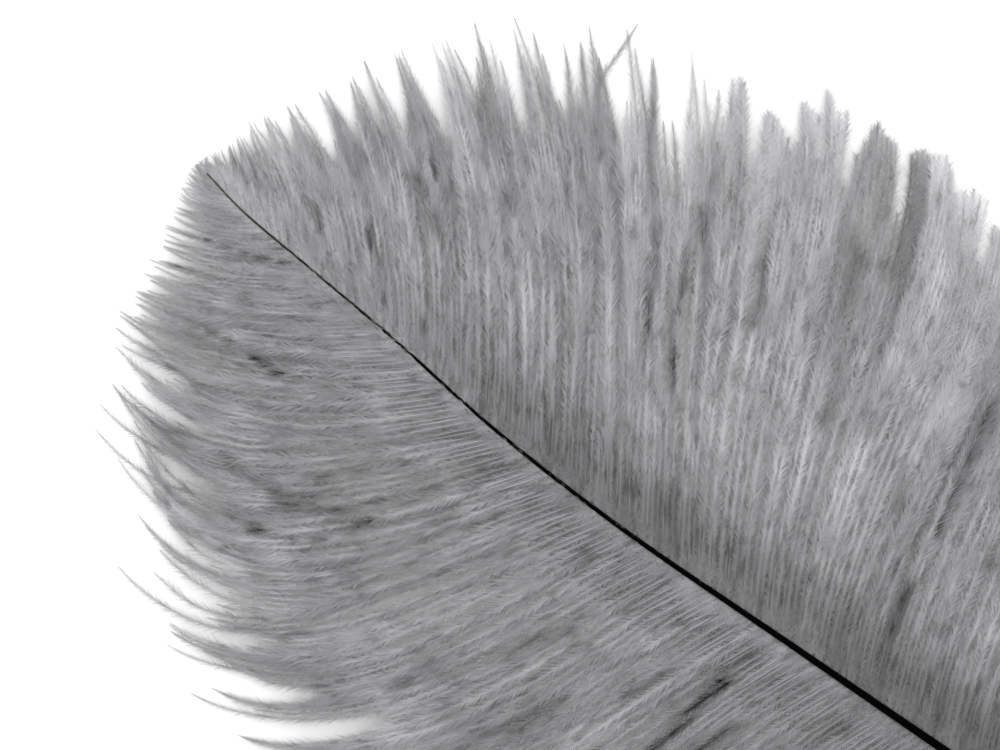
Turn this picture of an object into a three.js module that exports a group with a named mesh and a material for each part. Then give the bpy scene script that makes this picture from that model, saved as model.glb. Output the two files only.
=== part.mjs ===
import * as THREE from "three";

// An ostrich plume lying on its underside with its upper face showing, in millimetres.
// It is drawn with the tip of its shaft at x = 0 and the bare quill at +x.
// The right vane is on the +y side of the shaft and the left vane on the -y side.

// Centreline of the shaft, from the tip to the end of the quill: a shallow arch with a slight sideways bow.
const SHAFT_POINTS = [
  [0, 0, 2.5],
  [14, -2.5, 3.2],
  [36, -4.1, 4.6],
  [64, -6.2, 6.8],
  [98, -9.6, 9.6],
  [138, -10.8, 12.2],
  [186, -9.5, 13.9],
  [240, -8.0, 14.3],
  [305, -5.6, 13.2],
  [375, -3.0, 10.2],
  [445, -1.0, 5.9],
  [508, 0, 1.8],
];

// Width of the shaft at distances from its tip. The barbs end at the last, and the bare quill keeps that width.
const SHAFT_WIDTHS = [
  [0, 0.45],
  [40, 0.6],
  [100, 0.88],
  [150, 1.27],
  [215, 1.88],
  [320, 3.1],
  [462, 4.9],
];
const HEIGHT_TO_WIDTH = 0.9; // the shaft is slightly flatter than it is wide
const POINT_LENGTH = 12; // the quill's end narrows over this length
const POINT_WIDTH = 2.4; // width across the blunt end
const OPENING_WIDTH = 1.4; // the small hole in the quill's end
const OPENING_DEPTH = 4;
const SHAFT_SIDES = 16;
const SHAFT_STEP = 9; // distance between rings along the shaft

// Barbs that guide each vane: distance of the root from the shaft's tip, length, and the angle in degrees
// between the barb and the tipward direction of the shaft at the barb's root, middle and tip.
const RIGHT_BARBS = [
  [0, 4, 40, 25, 15],
  [13, 17, 42, 32, 26],
  [32, 38, 42, 30, 24],
  [53, 57, 45, 36, 24],
  [73, 79, 50, 38, 24],
  [93, 96, 54, 42, 27],
  [112, 112, 56, 47, 34],
  [131, 121, 57, 52, 42],
  [150, 126, 58, 58, 50],
  [168, 127, 60, 66, 56],
  [187, 128, 62, 74, 58],
  [205, 130, 63, 80, 62],
  [235, 132, 64, 82, 66],
  [300, 128, 66, 82, 70],
  [370, 112, 70, 82, 74],
  [425, 84, 72, 84, 82],
  [460, 50, 74, 86, 90],
];
const LEFT_BARBS = [
  [0, 4, 40, 25, 10],
  [13, 17, 42, 25, 10],
  [32, 36, 44, 32, 18],
  [53, 57, 46, 34, 12],
  [73, 78, 48, 34, 8],
  [93, 100, 52, 38, -8],
  [112, 116, 54, 44, -10],
  [131, 126, 57, 52, -8],
  [150, 130, 58, 58, 0],
  [168, 134, 60, 62, 12],
  [187, 137, 62, 66, 20],
  [205, 138, 63, 70, 28],
  [235, 139, 64, 74, 36],
  [300, 132, 66, 78, 44],
  [370, 114, 70, 80, 54],
  [425, 84, 72, 82, 66],
  [460, 50, 74, 84, 80],
];

// Each vane is an arched sheet as thick as its layers of barbs, and its outer band lies flat.
const FIRST_ROOT = 1;
const LAST_ROOT = 460;
const SHAFT_GAP = 0.35;
const ROOT_DROP = 1.4; // the barbs' roots sit this far below the shaft's centreline at most
const FLAT_FROM = 0.77; // share of a barb's length past which the vane's underside lies flat
const EDGE_THICKNESS = 1.1;
const ROOT_THICKNESS = 2.2;
const MIDDLE_SWELL = 4;
const LOCK_WIDTH = 19; // barbs gather into pointed locks about this wide along the shaft
const LOCK_NOTCH = 0.06; // share of a barb's length by which the edge falls back between two locks
const STEPS_ALONG = 72;
const STEPS_OUT = 9;
const BARB_STEPS = 24; // steps used to follow a barb's curve

const shaftCurve = new THREE.CatmullRomCurve3(
  SHAFT_POINTS.map((point) => new THREE.Vector3(...point)),
  false,
  "catmullrom",
  0.5,
);
shaftCurve.arcLengthDivisions = 1200;
const SHAFT_LENGTH = shaftCurve.getLength();

// The shaft's centre and its three directions at a distance s from the tip.
function shaftFrame(s) {
  const share = THREE.MathUtils.clamp(s / SHAFT_LENGTH, 0, 1);
  const along = shaftCurve.getTangentAt(share);
  const side = new THREE.Vector3(0, 0, 1).cross(along).normalize();
  const up = along.clone().cross(side);
  return { centre: shaftCurve.getPointAt(share), along, side, up };
}

// The row of a table at a distance s along the shaft, by straight steps between its rows.
function rowAt(table, s) {
  const next = THREE.MathUtils.clamp(
    table.findIndex((row) => row[0] >= s),
    1,
    table.length - 1,
  );
  const [before, after] = [table[next - 1], table[next]];
  const share = (s - before[0]) / (after[0] - before[0]);
  return before.map((value, i) => THREE.MathUtils.lerp(value, after[i], share));
}

function shaftWidth(s) {
  const barbsEnd = SHAFT_WIDTHS[SHAFT_WIDTHS.length - 1][0];
  return rowAt(SHAFT_WIDTHS, Math.min(s, barbsEnd))[1];
}

// Profile of the straightened shaft: half its width against the distance from the tip.
function shaftProfile() {
  const pointStart = SHAFT_LENGTH - POINT_LENGTH;
  const profile = [new THREE.Vector2(0, 0)];
  for (let s = 0.4; s < pointStart; s += SHAFT_STEP)
    profile.push(new THREE.Vector2(shaftWidth(s) / 2, s));
  const full = shaftWidth(pointStart) / 2;
  for (let i = 0; i <= 5; i++) {
    const turn = (i / 5) * (Math.PI / 2);
    const radius = THREE.MathUtils.lerp(POINT_WIDTH / 2, full, Math.cos(turn));
    profile.push(new THREE.Vector2(radius, pointStart + POINT_LENGTH * Math.sin(turn)));
  }
  const mouth = OPENING_WIDTH / 2;
  profile.push(new THREE.Vector2(mouth, SHAFT_LENGTH));
  profile.push(new THREE.Vector2(mouth * 0.8, SHAFT_LENGTH - OPENING_DEPTH * 0.7));
  profile.push(new THREE.Vector2(0, SHAFT_LENGTH - OPENING_DEPTH));
  return profile;
}

// The tapering profile is turned about its axis and then bent along the shaft's curve.
function makeShaft() {
  const geometry = new THREE.LatheGeometry(shaftProfile(), SHAFT_SIDES);
  const position = geometry.attributes.position;
  for (let i = 0; i < position.count; i++) {
    const { centre, side, up } = shaftFrame(position.getY(i));
    const place = centre
      .addScaledVector(side, -position.getX(i))
      .addScaledVector(up, position.getZ(i) * HEIGHT_TO_WIDTH);
    position.setXYZ(i, place.x, place.y, place.z);
  }
  return geometry;
}

// A point at a share t of the way along the barb rooted at s. sign is 1 for the right vane and -1 for the left.
function barbPoint(guides, sign, s, t) {
  const [, fullLength, rootAngle, middleAngle, tipAngle] = rowAt(guides, s);
  const notch = LOCK_NOTCH * (0.5 - 0.5 * Math.cos((2 * Math.PI * s) / LOCK_WIDTH));
  const length = fullLength * (1 - notch);
  const { centre, along, side } = shaftFrame(s);
  const tipward = along.clone().negate().setZ(0).normalize();
  const outward = side.clone().multiplyScalar(sign);
  const place = centre.addScaledVector(outward, shaftWidth(s) / 2 + SHAFT_GAP);
  const step = t / BARB_STEPS;
  for (let i = 0; i < BARB_STEPS; i++) {
    const u = (i + 0.5) * step;
    const angle =
      rootAngle * (1 - u) * (1 - 2 * u) +
      middleAngle * 4 * u * (1 - u) +
      tipAngle * u * (2 * u - 1);
    const turn = THREE.MathUtils.degToRad(angle);
    place.addScaledVector(tipward, Math.cos(turn) * length * step);
    place.addScaledVector(outward, Math.sin(turn) * length * step);
  }
  return place;
}

// A box with many steps is mapped onto the vane: its x runs along the shaft, y out along the barbs, z up.
function makeVane(guides, sign) {
  const geometry = new THREE.BoxGeometry(1, 1, 1, STEPS_ALONG, STEPS_OUT, 1);
  const position = geometry.attributes.position;
  for (let i = 0; i < position.count; i++) {
    const s = THREE.MathUtils.lerp(FIRST_ROOT, LAST_ROOT, position.getX(i) + 0.5);
    const t = sign > 0 ? position.getY(i) + 0.5 : 0.5 - position.getY(i);
    const place = barbPoint(guides, sign, s, t);
    const rootHeight = Math.max(place.z - ROOT_DROP, 0.4);
    const droop = 0.5 + 0.5 * Math.cos(Math.PI * Math.min(t / FLAT_FROM, 1));
    const thickness =
      EDGE_THICKNESS + (ROOT_THICKNESS - EDGE_THICKNESS + MIDDLE_SWELL * t) * (1 - t);
    const top = position.getZ(i) > 0;
    position.setXYZ(i, place.x, place.y, rootHeight * droop + (top ? thickness : 0));
  }
  return geometry;
}

const shaftMaterial = new THREE.MeshStandardMaterial({
  color: 0x0b0a0b,
  roughness: 0.35,
  metalness: 0,
});
const barbMaterial = new THREE.MeshStandardMaterial({
  color: 0x949496,
  roughness: 0.9,
  metalness: 0,
});

const shaft = new THREE.Mesh(makeShaft(), shaftMaterial);
shaft.name = "shaft";
const rightVane = new THREE.Mesh(makeVane(RIGHT_BARBS, 1), barbMaterial);
rightVane.name = "right_vane";
const leftVane = new THREE.Mesh(makeVane(LEFT_BARBS, -1), barbMaterial);
leftVane.name = "left_vane";

// The plume's origin is the middle of its footprint, on the surface that it lies on.
const plume = new THREE.Group();
plume.add(shaft, rightVane, leftVane);
const extent = new THREE.Box3().setFromObject(plume, true);
const middle = extent.getCenter(new THREE.Vector3());
plume.position.set(-middle.x, -middle.y, -extent.min.z);

export default plume;
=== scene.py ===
import math
from typing import NamedTuple

import bpy
import numpy as np
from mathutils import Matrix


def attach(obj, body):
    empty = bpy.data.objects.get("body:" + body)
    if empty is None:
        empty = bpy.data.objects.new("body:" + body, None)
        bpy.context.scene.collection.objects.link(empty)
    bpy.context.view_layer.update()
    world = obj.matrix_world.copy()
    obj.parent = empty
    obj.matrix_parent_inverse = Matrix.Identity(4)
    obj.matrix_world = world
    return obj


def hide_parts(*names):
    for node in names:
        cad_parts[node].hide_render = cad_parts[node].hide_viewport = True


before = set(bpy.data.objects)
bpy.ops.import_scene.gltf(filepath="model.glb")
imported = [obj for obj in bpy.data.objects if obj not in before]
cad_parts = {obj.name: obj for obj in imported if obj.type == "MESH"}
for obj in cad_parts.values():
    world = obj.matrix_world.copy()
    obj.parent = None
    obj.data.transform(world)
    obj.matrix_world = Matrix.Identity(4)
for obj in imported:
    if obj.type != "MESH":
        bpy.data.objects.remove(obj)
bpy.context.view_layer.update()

MM = 0.001
SEED = 7

# The plume is planned in millimetres, as its solids are drawn: the tip of the shaft is at x = 0, and the
# quill at +x. First come points on the shaft's centreline, and its widths at distances from its tip.
SHAFT_POINTS = np.array([
    (0, 0, 2.5),
    (14, -2.5, 3.2),
    (36, -4.1, 4.6),
    (64, -6.2, 6.8),
    (98, -9.6, 9.6),
    (138, -10.8, 12.2),
    (186, -9.5, 13.9),
    (240, -8.0, 14.3),
    (305, -5.6, 13.2),
    (375, -3.0, 10.2),
    (445, -1.0, 5.9),
    (508, 0, 1.8),
], float)
SHAFT_WIDTHS = np.array([
    (0, 0.45),
    (40, 0.6),
    (100, 0.88),
    (150, 1.27),
    (215, 1.88),
    (320, 3.1),
    (462, 4.9),
])
CALAMUS_START = 462.0  # the bare quill keeps its width from here on
HEIGHT_TO_WIDTH = 0.9  # the shaft is slightly flatter than it is wide

# Guide barbs: how far the root is from the shaft's tip, the length, and the angles in degrees between the
# barb and the tipward direction of the shaft at the barb's root, middle and tip.
RIGHT_BARBS = [
    (0, 4, 40, 25, 15),
    (13, 17, 42, 32, 26),
    (32, 38, 42, 30, 24),
    (53, 57, 45, 36, 24),
    (73, 79, 50, 38, 24),
    (93, 96, 54, 42, 27),
    (112, 112, 56, 47, 34),
    (131, 121, 57, 52, 42),
    (150, 126, 58, 58, 50),
    (168, 127, 60, 66, 56),
    (187, 128, 62, 74, 58),
    (205, 130, 63, 80, 62),
    (235, 132, 64, 82, 66),
    (300, 128, 66, 82, 70),
    (370, 112, 70, 82, 74),
    (425, 84, 72, 84, 82),
    (460, 50, 74, 86, 90),
]
LEFT_BARBS = [
    (0, 4, 40, 25, 10),
    (13, 17, 42, 25, 10),
    (32, 36, 44, 32, 18),
    (53, 57, 46, 34, 12),
    (73, 78, 48, 34, 8),
    (93, 100, 52, 38, -8),
    (112, 116, 54, 44, -10),
    (131, 126, 57, 52, -8),
    (150, 130, 58, 58, 0),
    (168, 134, 60, 62, 12),
    (187, 137, 62, 66, 20),
    (205, 138, 63, 70, 28),
    (235, 139, 64, 74, 36),
    (300, 132, 66, 78, 44),
    (370, 114, 70, 80, 54),
    (425, 84, 72, 82, 66),
    (460, 50, 74, 84, 80),
]

# Locks, the bundles that the barbs' outer ends gather into. Each has its root's place along the shaft, its
# reach as a share of the guide length, the share of a barb's length where the gathering starts, how tightly
# it draws in, the share of its reach where most of its barbs end, how much lighter or darker it is, and how
# far its end turns away from the shaft's tip in degrees.
ROOT, REACH, GATHERS, TIGHTNESS, ENDS, TINT, TURN = range(7)
RIGHT_LOCKS = [
    (7, 0.97, 0.80, 0.20, 1.00, 0.00, 0),
    (15, 1.00, 0.60, 0.60, 1.00, -0.05, 0),
    (22, 0.95, 0.62, 0.53, 1.00, 0.12, 0),
    (30, 1.00, 0.62, 0.63, 1.00, 0.08, 0),
    (37, 0.98, 0.67, 0.48, 1.00, 0.10, 0),
    (46, 1.02, 0.67, 0.68, 1.00, 0.06, 0),
    (59, 1.02, 0.67, 0.78, 1.00, -0.02, -8),
    (66, 1.01, 0.71, 0.78, 1.00, 0.03, 0),
    (71, 1.01, 0.71, 0.78, 1.00, 0.05, 0),
    (81, 1.01, 0.69, 0.72, 1.00, -0.10, 0),
    (93, 1.03, 0.71, 0.83, 1.00, 0.28, -2),
    (97, 1.03, 0.71, 0.83, 1.00, 0.14, -2),
    (105, 1.02, 0.69, 0.92, 1.00, -0.20, 0),
    (109, 0.99, 0.75, 0.65, 1.00, 0.05, 0),
    (115, 1.00, 0.73, 0.70, 1.00, -0.05, 0),
    (119, 1.02, 0.73, 0.83, 1.00, -0.10, 0),
    (126.5, 1.03, 0.73, 0.60, 1.00, 0.05, 0),
    (132.5, 1.03, 0.73, 0.45, 1.00, -0.15, 0),
    (141, 1.06, 0.78, 0.50, 0.97, 0.16, 0),
    (147, 1.02, 0.78, 0.55, 1.00, 0.02, 0),
    (154, 1.03, 0.84, 0.40, 0.97, 0.20, 0),
    (159.5, 1.01, 0.84, 0.35, 1.00, 0.12, 2),
    (165.5, 0.96, 0.84, 0.15, 1.00, 0.22, 2),
    (172, 1.01, 0.84, 0.15, 1.00, 0.12, 2),
    (176.5, 1.05, 0.84, 0.15, 1.00, 0.18, 2),
    (184, 1.02, 0.82, 0.15, 1.00, -0.12, 2),
    (189.5, 1.02, 0.84, 0.32, 1.00, -0.25, 3),
    (194, 1.03, 0.86, 0.10, 1.00, 0.20, 0),
    (198.5, 0.99, 0.86, 0.10, 1.00, 0.14, 0),
    (204, 0.94, 0.86, 0.10, 1.00, 0.10, 0),
]
LEFT_LOCKS = [
    (5, 0.95, 0.85, 0.15, 1.00, 0.00, 0),
    (12, 0.90, 0.80, 0.20, 1.00, 0.05, 0),
    (21, 0.93, 0.80, 0.30, 1.00, 0.00, 0),
    (27, 1.00, 0.80, 0.35, 1.00, 0.00, 0),
    (34, 0.97, 0.80, 0.30, 1.00, 0.10, 0),
    (42, 1.01, 0.78, 0.40, 1.00, -0.05, 0),
    (48, 1.01, 0.80, 0.35, 1.00, 0.10, 0),
    (56, 1.03, 0.80, 0.40, 1.00, 0.00, 0),
    (66, 0.97, 0.82, 0.30, 1.00, 0.10, 0),
    (74, 0.99, 0.84, 0.35, 1.00, -0.05, 0),
    (80, 1.00, 0.74, 0.75, 1.00, -0.08, 1),
    (88, 0.99, 0.80, 0.60, 0.98, 0.00, -3),
    (98, 1.01, 0.82, 0.50, 0.97, -0.05, -7),
    (102, 1.03, 0.82, 0.40, 0.95, -0.10, -14),
    (109, 1.02, 0.80, 0.40, 0.88, -0.05, -19),
    (117, 1.02, 0.80, 0.30, 0.88, 0.05, -17),
    (127, 1.04, 0.78, 0.35, 0.90, 0.14, -12),
    (133, 1.03, 0.80, 0.40, 0.90, 0.10, -6),
    (140.5, 1.01, 0.72, 0.85, 0.97, 0.06, 0),
    (152, 0.98, 0.60, 0.92, 0.98, 0.00, 0),
    (160.5, 0.98, 0.60, 0.92, 0.98, 0.06, 0),
]
# Past the last of these the locks are random: how far apart they are, and the spans of their other values.
FAR_LOCK_GAP = (7.0, 13.0)
FAR_LOCK_SPANS = [(0.95, 1.04), (0.62, 0.8), (0.4, 0.85), (0.9, 1.0), (-0.15, 0.15), (-6, 6)]

# Single barbs that stray from their locks: place along the shaft, reach, turn away from the shaft's tip in
# degrees, the share of the barb's length where the turn starts, and how much paler it is.
RIGHT_STRAYS = [
    (17, 1.00, 6, 0.30, -0.3),
    (118, 1.03, -6, 0.70, 0.0),
    (130.0, 1.04, 44, 0.80, 0.0),
    (154, 1.02, -3, 0.70, 0.1),
]
LEFT_STRAYS = [
    (101, 1.01, 0, 0.80, 0.0),
    (107, 1.03, -4, 0.80, 0.3),
    (115, 1.00, -10, 0.75, 0.3),
    (118, 0.94, -10, 0.75, 0.3),
    (124, 0.98, -8, 0.75, 0.2),
    (132, 1.05, -6, 0.75, 0.1),
    (143, 0.99, 7, 0.80, 0.1),
    (152.5, 1.00, 4, 0.80, 0.1),
]

# Gaps between locks: place along the shaft, the share of the barbs' length past which the gap's middle is
# open, and how far to each side of it barbs end early.
RIGHT_GAPS = [
    (53.3, 0.66, 2.0),
    (62.8, 0.80, 1.0),
    (73.5, 0.84, 0.8),
    (88.4, 0.68, 2.2),
    (109.5, 0.78, 0.9),
    (122.5, 0.87, 0.9),
    (138.6, 0.82, 1.2),
    (150.7, 0.78, 1.4),
    (169.3, 0.89, 0.9),
    (179.0, 0.90, 0.9),
    (187.0, 0.93, 0.7),
    (195.5, 0.91, 0.8),
    (202.0, 0.91, 0.8),
]
LEFT_GAPS = [
    (85.5, 0.78, 2.1),
    (93.4, 0.78, 2.3),
    (135.5, 0.75, 1.8),
    (146.3, 0.72, 1.6),
    (155.5, 0.62, 2.1),
]

# Folds and slits across the barbs, darkened with painted shade where the barbs part: place along the shaft
# and share of the barb's length where each starts, the same where it ends, its width along the shaft, and
# how much darker it is. Less than nothing is paler.
RIGHT_FOLDS = [
    (17, 0.42, 14, 0.98, 0.9, 0.22),
    (24, 0.42, 24, 0.80, 0.9, 0.20),
    (42, 0.26, 42, 0.44, 0.9, 0.26),
    (58, 0.30, 58, 0.40, 1.0, 0.30),
    (60, 0.10, 60, 0.17, 0.9, 0.28),
    (74, 0.05, 73, 0.15, 0.8, 0.25),
    (81, 0.36, 74, 0.65, 0.9, 0.30),
    (84, 0.54, 82, 0.70, 0.7, 0.30),
    (104, 0.54, 104, 0.62, 0.8, 0.30),
    (122, 0.62, 121, 0.70, 0.8, 0.30),
    (134, 0.60, 134, 0.72, 0.6, 0.30),
    (136, 0.72, 138, 0.90, 1.6, -0.30),
    (147, 0.45, 149, 0.75, 8.0, -0.06),
    (142, 0.38, 146, 0.66, 0.9, 0.35),
    (146, 0.66, 144, 0.92, 0.7, 0.20),
    (150, 0.33, 154, 0.70, 1.0, 0.35),
    (156, 0.48, 155, 0.70, 0.7, 0.25),
    (155, 0.70, 158, 0.85, 0.7, 0.25),
    (166, 0.55, 167, 0.78, 0.6, 0.30),
    (178, 0.55, 178, 0.70, 0.7, 0.25),
    (185, 0.40, 182, 0.80, 1.0, 0.24),
    (184, 0.82, 184, 1.00, 0.8, 0.16),
    (188, 0.74, 188, 1.00, 0.7, 0.22),
    (193, 0.43, 193, 0.49, 1.0, 0.30),
    (198, 0.65, 196, 0.85, 2.5, -0.15),
    (203, 0.36, 204, 0.42, 1.0, 0.35),
    (204, 0.38, 206, 0.76, 1.5, -0.22),
    (213, 0.12, 214, 0.24, 0.8, 0.30),
    (216, 0.34, 216, 0.64, 1.1, 0.35),
]
LEFT_FOLDS = [
    (34, 0.02, 26, 0.64, 0.9, 0.30),
    (26, 0.60, 26, 0.85, 0.6, 0.20),
    (32, 0.26, 32, 0.52, 0.8, 0.20),
    (41, 0.68, 40, 0.92, 0.6, 0.25),
    (68, 0.60, 62, 0.82, 0.7, 0.30),
    (76, 0.40, 71, 0.56, 0.9, 0.48),
    (83, 0.70, 80, 0.86, 0.6, 0.28),
    (86, 0.52, 86, 0.59, 0.8, 0.25),
    (95, 0.75, 94, 0.80, 2.0, 0.20),
    (104, 0.58, 97, 0.67, 1.5, 0.25),
    (108, 0.58, 98, 0.80, 2.0, -0.20),
    (109, 0.43, 105, 0.58, 1.3, 0.30),
    (112, 0.37, 112, 0.42, 0.9, 0.48),
    (112, 0.74, 108, 0.82, 0.8, 0.28),
    (117, 0.50, 111, 0.66, 0.7, 0.55),
    (124, 0.52, 118, 0.67, 2.0, -0.20),
    (124, 0.72, 116, 0.85, 1.8, -0.30),
    (149, 0.51, 149, 0.57, 0.9, 0.35),
    (152, 0.48, 151, 0.62, 2.5, -0.15),
    (154, 0.22, 152, 0.36, 1.5, 0.25),
    (161, 0.56, 160, 0.68, 2.5, -0.20),
    (169, 0.36, 170, 0.50, 3.0, 0.25),
    (178, 0.18, 177, 0.29, 0.9, 0.38),
    (187, 0.12, 191, 0.34, 1.1, 0.65),
    (199, 0.18, 198, 0.30, 0.9, 0.55),
]


class Vane(NamedTuple):
    """What sets one vane apart from the other."""

    node: str  # the solid that its barbs stand in for
    seed: int
    sign: int  # 1 on the +y side of the shaft, -1 on the -y side
    guides: list
    locks: list
    strays: list
    gaps: list
    folds: list
    blunt_from: float  # place along the shaft past which the locks' ends are blunt and frayed
    painted_shade: float  # how light the whole vane is: painted shade, the left vane darker as if less lit than the right
    root_shade: float  # how much darker it is beside the shaft
    far_shade: float  # how much darker its inner half is, far from the shaft's tip
    end_tint: float  # how much paler its outer half is
    filled: tuple  # places along the shaft between which finer barbs fill the fan


RIGHT_VANE = Vane(
    node="right_vane",
    seed=SEED,
    sign=1,
    guides=RIGHT_BARBS,
    locks=RIGHT_LOCKS,
    strays=RIGHT_STRAYS,
    gaps=RIGHT_GAPS,
    folds=RIGHT_FOLDS,
    blunt_from=154,
    painted_shade=1.0,
    root_shade=0.48,
    far_shade=0.14,
    end_tint=0.0,
    filled=(40, 235),
)
LEFT_VANE = Vane(
    node="left_vane",
    seed=SEED + 1,
    sign=-1,
    guides=LEFT_BARBS,
    locks=LEFT_LOCKS,
    strays=LEFT_STRAYS,
    gaps=LEFT_GAPS,
    folds=LEFT_FOLDS,
    blunt_from=215,
    # painted shade: this vane is darker as a whole, as if less lit than the other
    painted_shade=0.82,
    root_shade=0.1,
    far_shade=0.1,
    end_tint=0.14,
    filled=(84, 178),
)

# Each barb's centreline is a row of points at even shares of its length.
STEPS = 45
SHARES = np.linspace(0, 1, STEPS)
VARYING = ("points", "tone", "fold_shadow", "ruffle")  # what changes from point to point

# Roots, in millimetres along the shaft, and shares of the shaft's width out and down from its centreline.
BARB_SPACING = 1.55
FIRST_ROOT, LAST_ROOT = 0.4, 460.0
ROOT_INSET = 0.3
ROOT_DROP = 0.2

# Turns, in degrees.
TIP_FAN = 26.0  # by which the last barbs close over the shaft's tip
SHARED_BEND = 1.9  # that neighbouring barbs share
OWN_BEND = 1.6
LOOSE_TURN = 10  # of the outer halves of loose barbs
BLUNT_TURN = 9  # of the ends of barbs in blunt locks
LOCK_SWAY = 3  # of the locks' ends

# Heights, in millimetres, and the share of a barb's length past which it lies flat.
FLAT_FROM = 0.77
FLAT_HEIGHT = 1.9
CROWN = 1.6  # by which the barbs' middles rise
BARB_LAYER = 1.3  # between barbs
LOCK_LAYER = 0.9  # between locks
FOLD_HEIGHT = 1.5  # times how dark a fold is
LEAST_HEIGHT = 0.35

# Shares of the barbs, and shares of a barb's length.
LOOSE_SHARE = 0.06  # of the barbs hang loose from their locks
WHOLE_SHARE = 0.35  # of the barbs reach as far as their lock does
STRAY = 4 / 3  # looseness of a single barb that no lock draws in
BLUNT_FALL = 0.06  # by which a blunt lock's outermost barbs end before its middle ones
BLUNT_POWER = 3.5
FOLD_FADE = 0.03  # over which a fold starts and ends
FILL_FROM = 0.45  # past which finer barbs fill the fan between a barb and the next
GAP_TAPER = 0.12  # by which a gap is shallower at its sides than in its middle
GAP_INSET = 0.05  # by which the finer barbs reach into the gap between two locks

# Tones, as shares by which barbs are lighter or darker.
STRAND_TONE, BARB_TONE = 0.11, 0.10  # at random between strands, and between barbs
END_TONE = 0.1
BLUNT_TONE = 0.22  # at the ends of blunt locks
TIP_TONE = 0.1  # near the shaft's tip
RIDGE_TONE = 1.35  # times how far a ridge stands out

# Radius of a ramus at its end, and what it gains towards its root, in millimetres.
END_GIRTH, ADDED_GIRTH = 0.045, 0.105


def ease(x, start=0, over=1):
    """Goes smoothly from 0 to 1 as x goes from the start over this much."""
    x = np.clip((x - start) / over, 0, 1)
    return x * x * (3 - 2 * x)


def drift(rng, across, along):
    """Smooth noise from -1 to 1 at places [barb, step], which are counted in cells of the noise."""
    across, along = np.broadcast_arrays(across, along)
    knots = rng.uniform(-1, 1, (int(across.max()) + 3, int(along.max()) + 3))
    row, column = across.astype(int), along.astype(int)
    down, over = ease(across - row), ease(along - column)
    near = knots[row, column] * (1 - over) + knots[row, column + 1] * over
    far = knots[row + 1, column] * (1 - over) + knots[row + 1, column + 1] * over
    return near * (1 - down) + far * down


def catmull_rom(points, steps):
    """Points on the smooth curve through the given points, with this many steps from each to the next."""
    before = np.vstack([2 * points[0] - points[1], points[:-2]])
    start, end = points[:-1], points[1:]
    after = np.vstack([points[2:], 2 * points[-1] - points[-2]])
    t = (np.arange(steps) / steps)[None, :, None]
    p0, p1, p2, p3 = (p[:, None, :] for p in (before, start, end, after))
    curve = 0.5 * (
        2 * p1
        + (p2 - p0) * t
        + (2 * p0 - 5 * p1 + 4 * p2 - p3) * t**2
        + (3 * p1 - p0 - 3 * p2 + p3) * t**3
    )
    return np.vstack([curve.reshape(-1, 3), points[-1:]])


SHAFT_LINE = catmull_rom(SHAFT_POINTS, 60)
SHAFT_PLACES = np.concatenate([[0], np.cumsum(np.linalg.norm(np.diff(SHAFT_LINE, axis=0), axis=1))])
SHAFT_LENGTH = SHAFT_PLACES[-1]


def shaft_at(s):
    """Centre of the shaft at distances s from its tip."""
    return np.stack([np.interp(s, SHAFT_PLACES, SHAFT_LINE[:, i]) for i in range(3)], axis=-1)


def shaft_along(s):
    """Unit direction of the shaft towards the quill at distances s from its tip."""
    step = shaft_at(s + 0.6) - shaft_at(s - 0.6)
    return step / np.linalg.norm(step, axis=-1, keepdims=True)


def shaft_width(s):
    return np.interp(s, SHAFT_WIDTHS[:, 0], SHAFT_WIDTHS[:, 1])


def to_row(points):
    """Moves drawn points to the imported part's frame, in metres, by the end of the quill in both."""
    corners = np.array([v.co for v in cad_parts["shaft"].data.vertices])
    mouth = corners[corners[:, 0] > corners[:, 0].max() - 0.3 * MM]
    end = (mouth.min(0) + mouth.max(0)) / 2
    return (points - SHAFT_POINTS[-1]) * MM + end


# ---------------- barbs

def guided(guides, roots):
    """Lengths of the barbs rooted at these places, and their angles at the root, middle and tip."""
    table = np.array(guides, float)
    return [np.interp(roots, table[:, 0], table[:, i]) for i in (1, 2, 3, 4)]


def grow_plan(vane, roots, reach, lean):
    """Barbs from above, as [barb, step, xy]. reach scales their lengths, and lean adds to their angles."""
    length, root, middle, tip = (value[:, None] for value in guided(vane.guides, roots))
    u = (SHARES[1:] + SHARES[:-1]) / 2
    angle = root * (1 - u) * (1 - 2 * u) + middle * 4 * u * (1 - u) + tip * u * (2 * u - 1)
    angle = np.radians(angle + (lean[:, 1:] + lean[:, :-1]) / 2)
    along = shaft_along(roots)[:, None, :2]
    tipward = -along / np.linalg.norm(along, axis=-1, keepdims=True)
    outward = vane.sign * np.stack([tipward[..., 1], -tipward[..., 0]], axis=-1)
    step = (length * reach[:, None] / (STEPS - 1))[..., None]
    moves = step * (np.cos(angle)[..., None] * tipward + np.sin(angle)[..., None] * outward)
    inset = (ROOT_INSET * shaft_width(roots))[:, None, None]
    start = shaft_at(roots)[:, None, :2] + outward * inset
    return np.concatenate([start, start + np.cumsum(moves, axis=1)], axis=1)


def lock_table(rng, locks):
    """The given locks, followed by as many random ones as the rest of the vane needs."""
    rows = [list(lock) for lock in locks]
    while rows[-1][ROOT] < LAST_ROOT:
        root = rows[-1][ROOT] + rng.uniform(*FAR_LOCK_GAP)
        rows.append([root, *(rng.uniform(*span) for span in FAR_LOCK_SPANS)])
    return np.array(rows)


def nearest_lock(table, roots):
    """Each barb's lock, and how far out in it the barb is: 0 in its middle, 1 where the next one starts."""
    borders = (table[1:, ROOT] + table[:-1, ROOT]) / 2
    lock = np.searchsorted(borders, roots)
    low = np.append(2 * table[0, ROOT] - borders[0], borders)[lock]
    high = np.append(borders, 2 * table[-1, ROOT] - borders[-1])[lock]
    middle = table[lock, ROOT]
    side = np.where(roots < middle, middle - low, high - middle)
    return lock, np.clip(np.abs(roots - middle) / side, 0, 1)


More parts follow.
